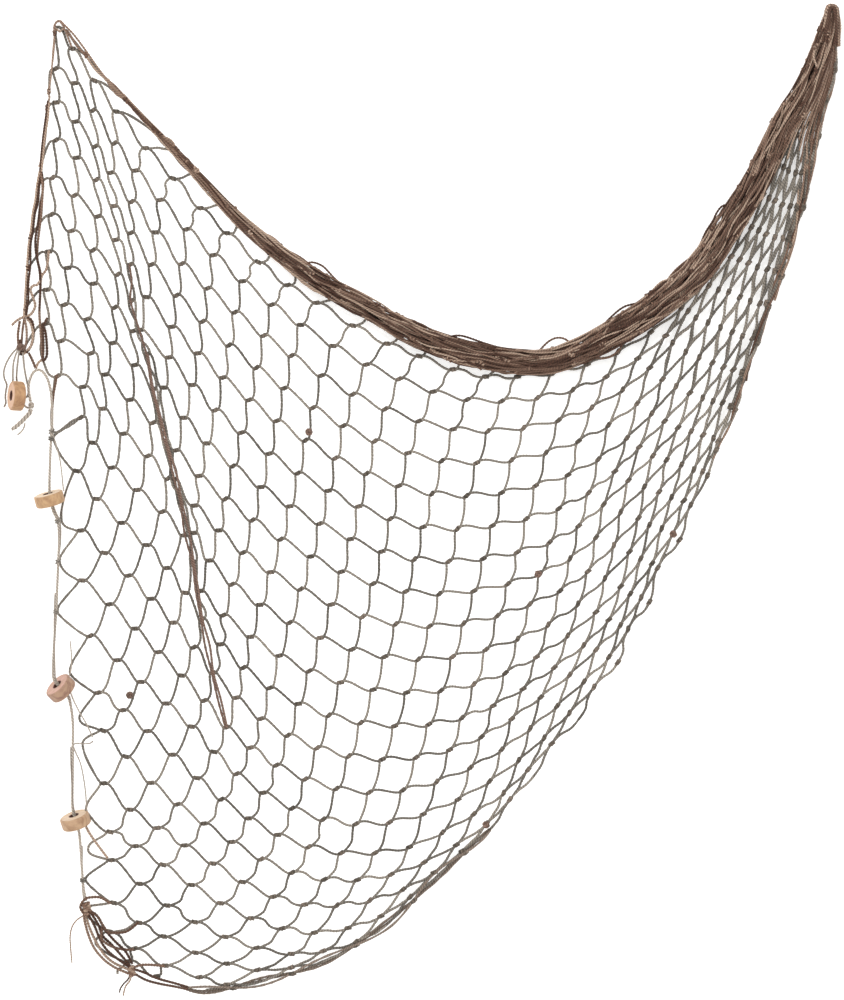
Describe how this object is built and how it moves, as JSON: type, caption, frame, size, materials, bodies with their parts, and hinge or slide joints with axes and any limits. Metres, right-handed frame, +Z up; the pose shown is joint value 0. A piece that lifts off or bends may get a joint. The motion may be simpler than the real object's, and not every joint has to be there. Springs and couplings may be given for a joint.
{
  "type": "gill net",
  "caption": "Decorative fishing net hung from two wall hooks, its top edge gathered into a sagging bundle, with wooden floats on its left edge line.",
  "frame": {"origin": "the right-hand wall hook, where the gathered top edge of the net ends", "axes": "+Z up, +X to the right as seen from the room, +Y towards the wall that the net hangs on"},
  "size_m": [1.2267, 0.0529, 1.4352],
  "materials": {
    "net_twine": "dull twisted cotton twine, stained taupe brown",
    "line_cord": "dull twisted cord, a paler grey tan",
    "float_wood": "turned softwood, satin, orange tan"
  },
  "bodies": {
    "root": {"net": "net_twine", "float_1": "float_wood", "float_2": "float_wood", "float_3": "float_wood", "float_4": "float_wood", "float_line": "line_cord", "line_knot": "line_cord", "line_tail": "line_cord", "line_tail_thin": "line_cord", "float_hanger_left": "net_twine", "float_hanger_loop": "net_twine", "float_hanger_cross": "net_twine", "hanger_knot": "net_twine", "corner_knot": "net_twine", "corner_tail": "net_twine", "edge_tie": "net_twine", "edge_tie_end_left": "net_twine", "edge_tie_end_right": "net_twine"}
  },
  "joints": []
}
